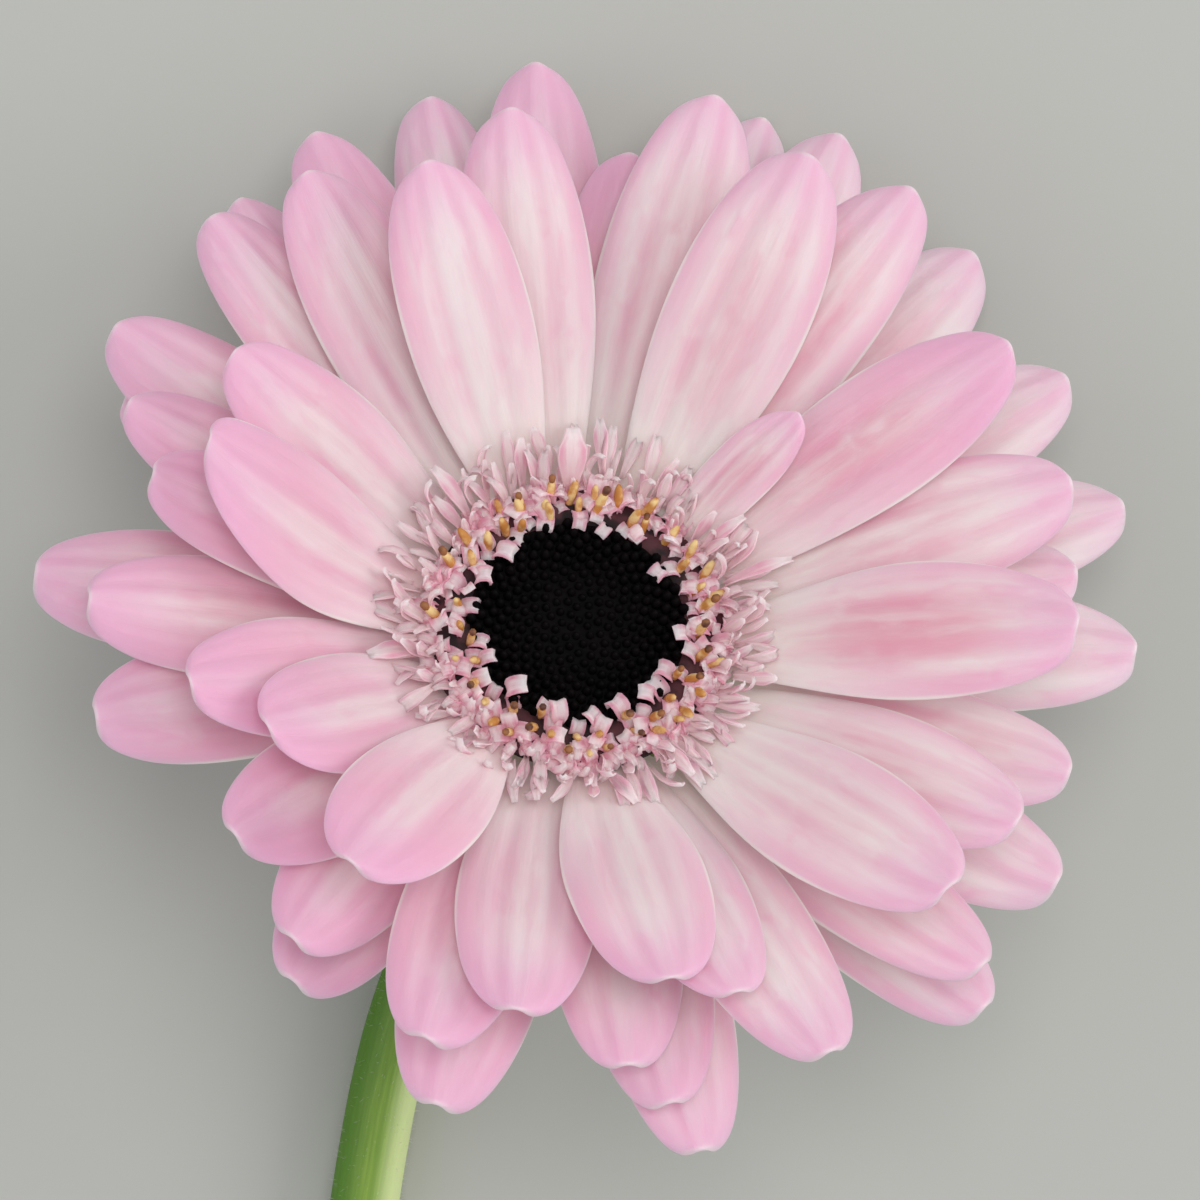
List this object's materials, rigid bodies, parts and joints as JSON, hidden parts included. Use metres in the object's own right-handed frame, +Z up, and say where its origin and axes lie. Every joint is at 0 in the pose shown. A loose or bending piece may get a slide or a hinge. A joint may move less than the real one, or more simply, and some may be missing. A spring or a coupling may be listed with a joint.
{
  "type": "cut gerbera",
  "caption": "Cut gerbera flower lying on a surface: pale pink ray florets in overlapping rows, short pale fringe, dark disc, green bracts and a bare green stem.",
  "frame": {"origin": "on the table, under the middle of the part's bounding box", "axes": "+Z up from the table, +Y along the stem towards the head"},
  "size_m": [0.105, 0.261, 0.0689],
  "materials": {
    "stem": "living green stem, ribbed and finely hairy, satin",
    "bract": "green pointed bracts with pale woolly edges, matt",
    "receptacle": "pale green flesh, matt",
    "ray_petal": "petal, cream at the foot to mauve-pink at the tip and margins, soft sheen, translucent",
    "trans_floret": "short pale pink straps with curled tips, matt, translucent",
    "disc_floret": "open florets, pink lobes and golden orange anthers, matt",
    "disc_bud": "nearly black closed buds, satin"
  },
  "bodies": {
    "root": {"bracts_inner": "bract", "bracts_outer": "bract", "disc_buds": "disc_bud", "disc_florets": "disc_floret", "ray_1_01": "ray_petal", "ray_1_02": "ray_petal", "ray_1_03": "ray_petal", "ray_1_04": "ray_petal", "ray_1_05": "ray_petal", "ray_1_06": "ray_petal", "ray_1_07": "ray_petal", "ray_1_08": "ray_petal", "ray_1_09": "ray_petal", "ray_1_10": "ray_petal", "ray_2_01": "ray_petal", "ray_2_02": "ray_petal", "ray_2_03": "ray_petal", "ray_2_04": "ray_petal", "ray_2_05": "ray_petal", "ray_2_06": "ray_petal", "ray_2_07": "ray_petal", "ray_2_08": "ray_petal", "ray_2_09": "ray_petal", "ray_2_10": "ray_petal", "ray_3_01": "ray_petal", "ray_3_02": "ray_petal", "ray_3_03": "ray_petal", "ray_3_04": "ray_petal", "ray_3_05": "ray_petal", "ray_3_06": "ray_petal", "ray_3_07": "ray_petal", "ray_3_08": "ray_petal", "ray_3_09": "ray_petal", "ray_4_01": "ray_petal", "ray_4_02": "ray_petal", "ray_4_03": "ray_petal", "ray_4_04": "ray_petal", "ray_4_05": "ray_petal", "ray_4_06": "ray_petal", "ray_5_01": "ray_petal", "ray_5_02": "ray_petal", "ray_5_03": "ray_petal", "ray_5_04": "ray_petal", "ray_5_05": "ray_petal", "ray_5_06": "ray_petal", "ray_5_07": "ray_petal", "ray_5_08": "ray_petal", "ray_6_01": "ray_petal", "ray_6_02": "ray_petal", "ray_6_03": "ray_petal", "ray_6_04": "ray_petal", "ray_6_05": "ray_petal", "ray_6_06": "ray_petal", "ray_6_07": "ray_petal", "ray_6_08": "ray_petal", "ray_7_01": "ray_petal", "ray_7_02": "ray_petal", "receptacle": "receptacle", "stem": "stem", "trans_florets": "trans_floret"}
  },
  "joints": []
}
